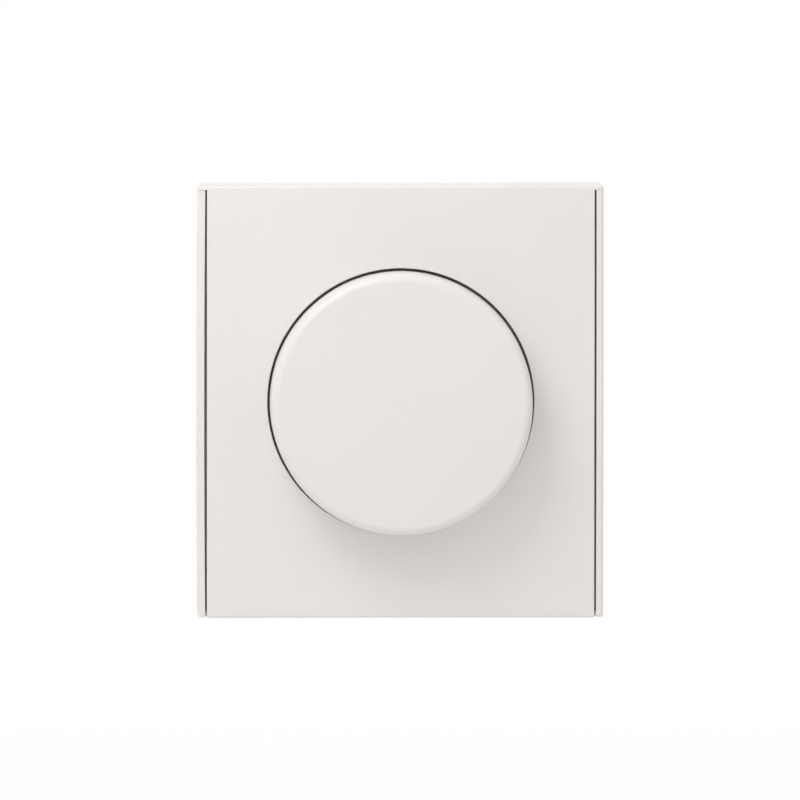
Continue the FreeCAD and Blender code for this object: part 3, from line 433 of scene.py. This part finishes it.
# %% [markdown]
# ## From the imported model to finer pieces
# A construction model has mathematically sharp edges. Moulded plastic and punched steel don't:
# every edge is rounded by a tenth of a millimetre or two, and that thin round is what catches the
# light. Pieces whose form is already right are copied, their loose triangles are merged and
# dissolved into whole faces, and a bevel rounds the sharp edges. Pieces that need more form than
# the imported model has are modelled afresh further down.

body_of = {n: body for body, names in frame["record"]["behaviour"]["bodies"].items() for n in names}
SMOOTH_ANGLE = math.radians(32)


def only(piece):
    """Makes one object the selected and active one."""
    if bpy.context.object and bpy.context.object.mode != "OBJECT":
        bpy.ops.object.mode_set(mode="OBJECT")
    bpy.ops.object.select_all(action="DESELECT")
    piece.select_set(True)
    bpy.context.view_layer.objects.active = piece


def stands_for(piece, node):
    """The piece moves with the node's body, takes its slot and finish, and is seen in its place."""
    only(piece)
    bpy.ops.object.transform_apply(location=True, rotation=True, scale=True)
    bpy.ops.object.shade_smooth_by_angle(angle=SMOOTH_ANGLE)
    flatness = piece.modifiers.new("flat_faces_stay_flat", "WEIGHTED_NORMAL")
    flatness.keep_sharp = True
    bpy.ops.object.modifier_apply(modifier=flatness.name)
    piece.data.materials.clear()
    piece.data.materials.append(finishes[slot_of[node]])
    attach(piece, body_of[node])
    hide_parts(node)


# %% Round the edges of a copy
SHARP_ANGLE = math.radians(40)
BEVEL_SEGMENTS = 2
MERGE_DISTANCE = 1e-6
FLAT_ANGLE = math.radians(0.5)


def bevel_edges(piece, width):
    """Rounds every sharp edge by a width in millimetres, with a modifier applied at once."""
    only(piece)
    rounding = piece.modifiers.new("edge_rounding", "BEVEL")
    rounding.width = width * MM
    rounding.segments = BEVEL_SEGMENTS
    rounding.limit_method = "ANGLE"
    rounding.angle_limit = SHARP_ANGLE
    rounding.use_clamp_overlap = False
    rounding.miter_outer = "MITER_ARC"
    bpy.ops.object.modifier_apply(modifier=rounding.name)


def copied(node):
    """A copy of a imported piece, merged and dissolved into whole faces."""
    piece = bpy.data.objects.new("soft_" + node, nodes[node].data.copy())
    bpy.context.scene.collection.objects.link(piece)
    only(piece)
    bpy.ops.object.mode_set(mode="EDIT")
    bpy.ops.mesh.select_all(action="SELECT")
    bpy.ops.mesh.remove_doubles(threshold=MERGE_DISTANCE)
    bpy.ops.mesh.customdata_custom_splitnormals_clear()
    bpy.ops.mesh.dissolve_limited(angle_limit=FLAT_ANGLE)
    bpy.ops.object.mode_set(mode="OBJECT")
    return piece


# %% [markdown]
# A flat face with a hole in it is really two faces that share two cuts, because a mesh face can't
# have a hole. Where such a cut runs close beside an edge, the bevel pushes the new corner across
# it, and the face folds over itself and closes the hole. Those flat faces are taken out after the
# bevel and filled again from their outlines, which Fill does with the holes left open.

# %% Fill folded flat faces again
FLAT_AREA = 1.0 * MM * MM
FOLDED_SHARE = 1.0001
SAME_NORMAL = 0.001
SAME_DEPTH = 0.001 * MM


def in_plane(face, normal, depth):
    """Whether a face lies in the plane with this normal, this far from the origin."""
    parallel = (face.normal - normal).length < SAME_NORMAL
    return parallel and abs(face.center.dot(normal) - depth) < SAME_DEPTH


def folded_face(piece, done):
    """The largest flat face whose triangles cover more than its area, or None."""
    mesh = piece.data
    mesh.calc_loop_triangles()
    covered = {}
    for triangle in mesh.loop_triangles:
        covered[triangle.polygon_index] = covered.get(triangle.polygon_index, 0) + triangle.area
    folded = [face for face in mesh.polygons if face.area > FLAT_AREA and len(face.vertices) > 4
              and covered[face.index] > face.area * FOLDED_SHARE
              and not any(in_plane(face, normal, depth) for normal, depth in done)]
    return max(folded, key=lambda face: face.area, default=None)


def fill_folded(piece):
    """Takes out each plane's faces where one of them folds, and fills their outlines again."""
    only(piece)
    done = []
    face = folded_face(piece, done)
    while face:
        normal, depth = face.normal.copy(), face.center.dot(face.normal)
        done.append((normal, depth))
        bpy.ops.object.mode_set(mode="EDIT")
        bpy.ops.mesh.select_mode(type="FACE")
        bpy.ops.mesh.select_all(action="DESELECT")
        bpy.ops.object.mode_set(mode="OBJECT")
        for other in piece.data.polygons:
            other.select = in_plane(other, normal, depth)
        bpy.ops.object.mode_set(mode="EDIT")
        bpy.ops.mesh.delete(type="FACE")
        bpy.ops.mesh.select_mode(type="EDGE")
        bpy.ops.mesh.select_non_manifold(extend=False, use_wire=False, use_boundary=True,
                                         use_multi_face=False, use_non_contiguous=False,
                                         use_verts=False)
        bpy.ops.mesh.fill(use_beauty=True)
        bpy.ops.object.mode_set(mode="OBJECT")
        face = folded_face(piece, done)
    if done:
        bpy.ops.object.mode_set(mode="EDIT")
        bpy.ops.mesh.select_all(action="SELECT")
        bpy.ops.mesh.normals_make_consistent(inside=False)
        bpy.ops.object.mode_set(mode="OBJECT")
    return len(done)


# %% Soften a piece
def soften(node, width):
    """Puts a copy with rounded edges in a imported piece's place; the width is in millimetres."""
    piece = copied(node)
    whole_faces = len(piece.data.polygons)
    bevel_edges(piece, width)
    filled = fill_folded(piece)
    stands_for(piece, node)
    print(piece.name, "planes filled again:", filled)
    print(piece.name, "faces", whole_faces, "->", len(piece.data.polygons))


# %% Soften the moulded and punched pieces that can be seen from outside
for name, width in {"support_ring": 0.12, "insert_cup": 0.2, "rear_cover": 0.2}.items():
    soften(name, width)

# %% [markdown]
# ## Turned pieces
# A screw is turned from rod on a lathe, so it is made the same way here: a disc is extruded along
# the axis, and its rim is widened or narrowed at each step. The thread is a small triangle that the
# Screw modifier winds round the core, one pitch higher each turn. It is united with the core, so
# the screw stays one closed body.


# %% A lathe
def lathe(name, sections, place, vertices=32):
    """A turned solid about a line along Y through place (x, z), from sections (y, radius) in mm."""
    x, z = place
    y, radius = sections[0]
    bpy.ops.object.select_all(action="DESELECT")
    bpy.ops.mesh.primitive_circle_add(vertices=vertices, radius=radius * MM, fill_type="NGON",
                                      location=(x * MM, y * MM, z * MM),
                                      rotation=(math.pi / 2, 0, 0))
    piece = bpy.context.active_object
    piece.name = name
    bpy.ops.object.transform_apply(location=True, rotation=True, scale=True)
    bpy.ops.object.mode_set(mode="EDIT")
    bpy.ops.mesh.select_all(action="SELECT")
    for next_y, next_radius in sections[1:]:
        step = (0, (next_y - y) * MM, 0)
        bpy.ops.mesh.extrude_region_move(TRANSFORM_OT_translate={"value": step})
        share = next_radius / radius
        centre = (x * MM, next_y * MM, z * MM)
        bpy.ops.transform.resize(value=(share, 1, share), center_override=centre)
        y, radius = next_y, next_radius
    bpy.ops.mesh.select_all(action="SELECT")
    bpy.ops.mesh.normals_make_consistent(inside=False)
    bpy.ops.object.mode_set(mode="OBJECT")
    return piece


def combine(piece, tool, operation):
    """Unites the tool with the piece or cuts it away, and removes the tool."""
    only(piece)
    change = piece.modifiers.new("combine", "BOOLEAN")
    change.operation = operation
    change.solver = "EXACT"
    change.object = tool
    bpy.ops.object.modifier_apply(modifier=change.name)
    bpy.data.objects.remove(tool)


def box_tool(low, high):
    """A block between two corners in millimetres, to cut with."""
    middle = [(a + b) / 2 * MM for a, b in zip(low, high)]
    bpy.ops.mesh.primitive_cube_add(size=1, location=middle,
                                    scale=[(b - a) * MM for a, b in zip(low, high)])
    tool = bpy.context.active_object
    bpy.ops.object.transform_apply(location=True, rotation=True, scale=True)
    return tool


# %% A thread
THREAD_SIDE = 0.42
THREAD_STEPS = 24


def thread(place, start, end, crest, pitch):
    """A right-hand ridge round a line along Y, from start to end; its crest lies at a radius."""
    x, z = place
    reach = THREAD_SIDE / math.sqrt(3)
    bpy.ops.mesh.primitive_circle_add(vertices=3, radius=reach * MM, fill_type="NOTHING",
                                      rotation=(0, 0, -math.pi / 2))
    ridge = bpy.context.active_object
    bpy.ops.object.transform_apply(location=True, rotation=True, scale=True)
    bpy.ops.object.mode_set(mode="EDIT")
    bpy.ops.mesh.select_all(action="SELECT")
    bpy.ops.transform.translate(value=((crest - reach) * MM, start * MM, 0))
    bpy.ops.object.mode_set(mode="OBJECT")
    winding = ridge.modifiers.new("winding", "SCREW")
    winding.axis = "Y"
    winding.screw_offset = pitch * MM
    winding.iterations = int((end - start) / pitch)
    winding.steps = winding.render_steps = THREAD_STEPS
    only(ridge)
    bpy.ops.object.modifier_apply(modifier=winding.name)
    bpy.ops.object.mode_set(mode="EDIT")
    bpy.ops.mesh.select_all(action="SELECT")
    bpy.ops.mesh.fill_holes(sides=3)
    bpy.ops.mesh.select_all(action="SELECT")
    bpy.ops.mesh.normals_make_consistent(inside=False)
    bpy.ops.object.mode_set(mode="OBJECT")
    ridge.location = (x * MM, 0, z * MM)
    bpy.ops.object.transform_apply(location=True, rotation=True, scale=True)
    return ridge


# %% [markdown]
# The claw screws are M3 screws with a flat slotted head in front of the support ring. Their thread
# runs on through the square nut behind the claw's foot, and shows between the ring and the nut.
# HEAD_RIM rounds the head's front edge: each pair is a depth behind the face and how far it lies
# inside the head's radius.

# %% The claw screws
HEAD_HEIGHT = 1.6
HEAD_RIM = ((0, 0.35), (0.12, 0.12), (0.4, 0))
HEAD_CHAMFER = 0.1
HEAD_SLOT = 0.8
SLOT_DEPTH = 0.8
SLOT_REACH = 3
THREAD_CREST = 1.49
THREAD_CORE = 1.22
THREAD_PITCH = 0.5
THREAD_RUNOUT = 3.0
THREAD_LEAD = 0.25
CORE_TAPER = 0.3
TIP_LENGTH = 0.35
BARE_TIP = 0.6


def make_claw_screw(node):
    """Puts a slotted M3 screw in the node's place, with its head before the ring."""
    low, high = [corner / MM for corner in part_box(node)]
    head_radius, place = (high.z - low.z) / 2, ((low.x + high.x) / 2, (low.z + high.z) / 2)
    head_face, tip, head_back = low.y, high.y, low.y + HEAD_HEIGHT
    thread_start = head_back + THREAD_RUNOUT
    sections = [(head_face + depth, head_radius - inset) for depth, inset in HEAD_RIM]
    sections += [(head_back - HEAD_CHAMFER, head_radius), (head_back, head_radius - HEAD_CHAMFER),
                 (head_back, THREAD_CREST), (thread_start - CORE_TAPER, THREAD_CREST),
                 (thread_start, THREAD_CORE), (tip - TIP_LENGTH, THREAD_CORE),
                 (tip, THREAD_CORE - CORE_TAPER)]
    screw = lathe("made_" + node, sections, place)
    slot_low = (place[0] - SLOT_REACH, head_face - 1, place[1] - HEAD_SLOT / 2)
    slot_high = (place[0] + SLOT_REACH, head_face + SLOT_DEPTH, place[1] + HEAD_SLOT / 2)
    combine(screw, box_tool(slot_low, slot_high), "DIFFERENCE")
    ridge = thread(place, thread_start + THREAD_LEAD, tip - BARE_TIP, THREAD_CREST, THREAD_PITCH)
    combine(screw, ridge, "UNION")
    stands_for(screw, node)
    print(screw.name, "faces", len(screw.data.polygons))


for side in ("right", "left"):
    make_claw_screw("claw_screw_" + side)

# %% [markdown]
# The terminal screws, the clamps that they draw and the square nuts of the claws keep the packed
# form, with their edges rounded.

# %% Round the small hardware
for name, width in {"claw_nut_right": 0.15, "claw_nut_left": 0.15,
                    "terminal_clamp_1": 0.1, "terminal_clamp_2": 0.1,
                    "terminal_clamp_3": 0.1, "terminal_screw_1": 0.1,
                    "terminal_screw_2": 0.1, "terminal_screw_3": 0.1}.items():
    soften(name, width)

# %% [markdown]
# Behind the potentiometer the push switch has a coil spring. Its rear end stands on the switch's
# floor and its front end follows the plunger, so it gets shorter by the knob's travel.

# %% Put a copy of the spring in its place, with a mesh of its own
spring = copied("switch_spring")
stands_for(spring, "switch_spring")
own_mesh(spring)

# %% [markdown]
# ## The claws
# A claw is stamped from 1.2 mm spring steel and bent twice: its foot lies before the square nut,
# the strip lies on the cup's ramps, and the toothed tip turns outwards to bite into the wall box.
# It is built as the sheet that it is. A strip is extruded along the middle of the sheet, its two
# bends are rounded, Solidify gives it the thickness, and then the slot for the screw and the teeth
# are cut. The foot ends short of the tip, and the corners of the bends are measured from the claw's
# inner edge. The left claw is the right one's mirror image.


# %% Bend the strip
BEND_SEGMENTS = 5
NEAR = 0.01


def select_near(piece, place):
    """Selects the vertices whose x and y lie at a place, in millimetres."""
    only(piece)
    bpy.ops.object.mode_set(mode="EDIT")
    bpy.ops.mesh.select_mode(type="VERT")
    bpy.ops.mesh.select_all(action="DESELECT")
    bpy.ops.object.mode_set(mode="OBJECT")
    for vertex in piece.data.vertices:
        vertex.select = math.hypot(vertex.co.x / MM - place[0], vertex.co.y / MM - place[1]) < NEAR
    bpy.ops.object.mode_set(mode="EDIT")


def bent_sheet(name, route, half_width, thickness, bend_radius):
    """A sheet along a route of (x, y) points, half_width to each side of z = 0, in millimetres."""
    (x0, y0), (x1, y1) = route[:2]
    bpy.ops.object.select_all(action="DESELECT")
    bpy.ops.mesh.primitive_plane_add(size=1, location=((x0 + x1) / 2 * MM, (y0 + y1) / 2 * MM, 0),
                                     rotation=(math.pi / 2, 0, math.atan2(y1 - y0, x1 - x0)))
    sheet = bpy.context.active_object
    sheet.name = name
    sheet.scale = (math.hypot(x1 - x0, y1 - y0) * MM, 2 * half_width * MM, 1)
    bpy.ops.object.transform_apply(location=True, rotation=True, scale=True)
    select_near(sheet, route[1])
    for (x0, y0), (x1, y1) in zip(route[1:], route[2:]):
        step = ((x1 - x0) * MM, (y1 - y0) * MM, 0)
        bpy.ops.mesh.extrude_region_move(TRANSFORM_OT_translate={"value": step})
    for before, bend, after in zip(route, route[1:], route[2:]):
        turn = Vector(bend) - Vector(before)
        half_turn = turn.angle(Vector(after) - Vector(bend)) / 2
        select_near(sheet, bend)
        bpy.ops.mesh.select_mode(type="EDGE")
        bpy.ops.mesh.bevel(offset=bend_radius * math.tan(half_turn) * MM, segments=BEND_SEGMENTS,
                           affect="EDGES")
    bpy.ops.object.mode_set(mode="OBJECT")
    plate = sheet.modifiers.new("plate", "SOLIDIFY")
    plate.thickness = thickness * MM
    plate.offset = 0
    plate.use_even_offset = True
    only(sheet)
    bpy.ops.object.modifier_apply(modifier=plate.name)
    return sheet


# %% Cut the slot and the teeth
CLAW_SHEET = 1.2
BEND_RADIUS = 1.0
FOOT_SHORT = 1.54
FOOT_BEND = 0.35
TIP_BEND = 6.05
TIP_ROOM = 0.05
SCREW_RADIUS = 1.5
SCREW_ROOM = 0.2
CUT_MARGIN = 2
CUT_THROUGH = 25
TOOTH_COUNT = 5
NOTCH_SHARE = 0.4
NOTCH_THROUGH = 12
CLAW_ROUND = 0.1

claw_low, claw_high = [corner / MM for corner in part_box("claw_right")]
screw_low, screw_high = [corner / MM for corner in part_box("claw_screw_right")]
screw_x = (screw_low.x + screw_high.x) / 2
foot_y = claw_high.y - CLAW_SHEET / 2
tip_y = claw_low.y + CLAW_SHEET / 2 + TIP_ROOM
claw_route = [(claw_high.x - FOOT_SHORT, foot_y), (claw_low.x + FOOT_BEND, foot_y),
              (claw_low.x + TIP_BEND, tip_y), (claw_high.x, tip_y)]
claw = bent_sheet("made_claw_right", claw_route, claw_high.z, CLAW_SHEET, BEND_RADIUS)
slot_half = SCREW_RADIUS + SCREW_ROOM
slot = box_tool((claw_low.x - CUT_MARGIN, 0, -slot_half), (screw_x, CUT_THROUGH, slot_half))
combine(claw, slot, "DIFFERENCE")
slot_end = lathe("screw_hole", [(0, slot_half), (CUT_THROUGH, slot_half)], (screw_x, 0))
combine(claw, slot_end, "DIFFERENCE")
notch_pitch = 2 * claw_high.z / TOOTH_COUNT
notch_radius = notch_pitch * NOTCH_SHARE
for i in range(TOOTH_COUNT + 1):
    notch = lathe("notch", [(0, notch_radius), (NOTCH_THROUGH, notch_radius)],
                  (claw_high.x, claw_low.z + i * notch_pitch), vertices=4)
    combine(claw, notch, "DIFFERENCE")
bevel_edges(claw, CLAW_ROUND)
stands_for(claw, "claw_right")
print(claw.name, "faces", len(claw.data.polygons))

# %% Mirror the claw
only(claw)
bpy.ops.object.duplicate()
other_claw = bpy.context.active_object
other_claw.name = "made_claw_left"
other_claw.scale.x = -1
bpy.ops.object.transform_apply(location=True, rotation=True, scale=True)
bpy.ops.object.mode_set(mode="EDIT")
bpy.ops.mesh.select_all(action="SELECT")
bpy.ops.mesh.normals_make_consistent(inside=False)
bpy.ops.object.mode_set(mode="OBJECT")
stands_for(other_claw, "claw_left")
print(other_claw.name, "faces", len(other_claw.data.polygons))
